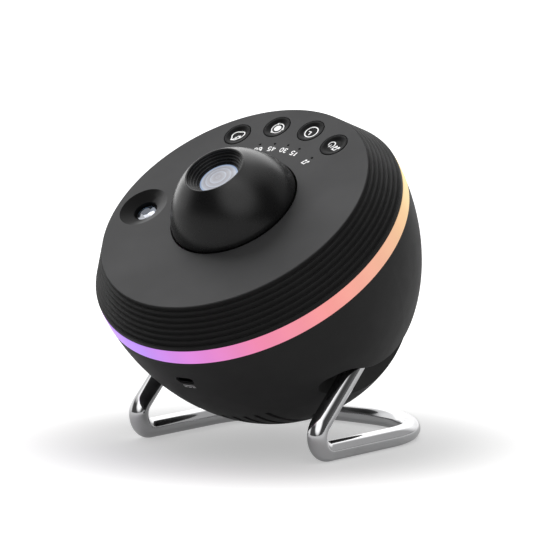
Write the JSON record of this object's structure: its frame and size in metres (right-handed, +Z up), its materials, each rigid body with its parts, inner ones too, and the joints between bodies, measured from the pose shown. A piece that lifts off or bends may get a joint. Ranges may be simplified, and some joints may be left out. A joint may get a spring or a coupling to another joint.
{
  "type": "planetarium projector",
  "caption": "Round star and nebula projector head with a light ring, top buttons and a domed lens, tilting on a bent chrome rod stand.",
  "frame": {"origin": "centre of the footprint of the whole part, on the table under the stand rod", "axes": "+Z up, -Y the front that the dome leans to, +X along the tilt pivot"},
  "size_m": [0.1504, 0.1514, 0.1515],
  "materials": {
    "chrome": "mirror polished chrome plating",
    "steel": "plain zinc plated steel",
    "plate_grey": "fine matte dark grey",
    "shell_black": "satin black",
    "dome_black": "satin to semi gloss black",
    "milky_diffuser": "milky translucent, lit from inside",
    "clear_glass": "polished clear glass",
    "disc_glass": "rippled clear disc",
    "button_black": "satin black with white printed symbols",
    "board_green": "solder resist",
    "lamp_white": "white lamp bodies and clear guides",
    "part_black": "plain black moulding",
    "frame_grey": "plain grey moulding",
    "gear_white": "white acetal",
    "bush_brass": "turned brass",
    "heatsink_aluminium": "plain aluminium",
    "speaker_frame": "dark painted steel",
    "speaker_paper": "black paper cone"
  },
  "bodies": {
    "stand": {"stand_rod": "chrome", "pivot_hubs": "chrome", "pivot_axles": "steel", "friction_washers": "steel", "lock_nuts": "steel"},
    "head": {"board_screws": "steel", "button_switches": "part_black", "chassis": "frame_grey", "condenser_lens": "clear_glass", "control_board": "board_green", "cover_screws": "steel", "dome_screws": "steel", "drive_motor": "steel", "front_lens": "clear_glass", "heatsink": "heatsink_aluminium", "housing_screws": "steel", "indicator_guides": "lamp_white", "indicator_lamps": "lamp_white", "inlet_board": "board_green", "lamp_board": "lamp_white", "lamp_chips": "lamp_white", "laser_holder": "part_black", "laser_module": "bush_brass", "laser_window": "clear_glass", "lens_baffle": "dome_black", "lens_tube": "part_black", "light_ring": "milky_diffuser", "lower_housing": "shell_black", "main_board": "board_green", "main_board_parts": "part_black", "optics_barrel": "part_black", "optics_screws": "steel", "pivot_bushes": "bush_brass", "power_socket": "steel", "projector_dome": "dome_black", "rear_lens": "clear_glass", "ring_lamps": "lamp_white", "ring_light_strip": "lamp_white", "speaker": "speaker_frame", "speaker_cone": "speaker_paper", "top_cover": "plate_grey"},
    "nebula_button": {"nebula_button": "button_black"},
    "brightness_button": {"brightness_button": "button_black"},
    "timer_button": {"timer_button": "button_black"},
    "power_button": {"power_button": "button_black"},
    "nebula_rotor": {"nebula_gear": "gear_white", "nebula_disc": "disc_glass"},
    "pinion_rotor": {"motor_shaft": "steel", "drive_pinion": "gear_white"},
    "grating_rotor": {"grating_gear": "gear_white", "star_grating": "disc_glass"}
  },
  "joints": [
    {"name": "head_tilt", "type": "hinge", "parent": "stand", "child": "head", "pos_m": [0, 0.01688, 0.0586], "axis": [1, 0, 0], "range_deg": [-75, 5]},
    {"name": "nebula_press", "type": "slide", "parent": "head", "child": "nebula_button", "axis": [0, 0.6176, -0.7865], "range_m": [0, 0.0008], "stiffness_N_per_m": 600, "springref_m": -0.0008},
    {"name": "brightness_press", "type": "slide", "parent": "head", "child": "brightness_button", "axis": [0, 0.6176, -0.7865], "range_m": [0, 0.0008], "stiffness_N_per_m": 600, "springref_m": -0.0008},
    {"name": "timer_press", "type": "slide", "parent": "head", "child": "timer_button", "axis": [0, 0.6176, -0.7865], "range_m": [0, 0.0008], "stiffness_N_per_m": 600, "springref_m": -0.0008},
    {"name": "power_press", "type": "slide", "parent": "head", "child": "power_button", "axis": [0, 0.6176, -0.7865], "range_m": [0, 0.0008], "stiffness_N_per_m": 600, "springref_m": -0.0008},
    {"name": "nebula_spin", "type": "hinge", "parent": "head", "child": "nebula_rotor", "pos_m": [0, -0.01351, 0.0973], "axis": [0, -0.6176, 0.7865], "continuous": true},
    {"name": "pinion_spin", "type": "hinge", "parent": "head", "child": "pinion_rotor", "pos_m": [-0.03322, -0.02053, 0.09178], "axis": [0, -0.6176, 0.7865], "continuous": true},
    {"name": "grating_spin", "type": "hinge", "parent": "head", "child": "grating_rotor", "pos_m": [-0.0496, -0.0176, 0.09409], "axis": [0, -0.6176, 0.7865], "continuous": true}
  ],
  "couplings": [
    {"joint": "pinion_spin", "follows": "nebula_spin", "ratio": -3.7778},
    {"joint": "grating_spin", "follows": "nebula_spin", "ratio": 2.8333}
  ]
}
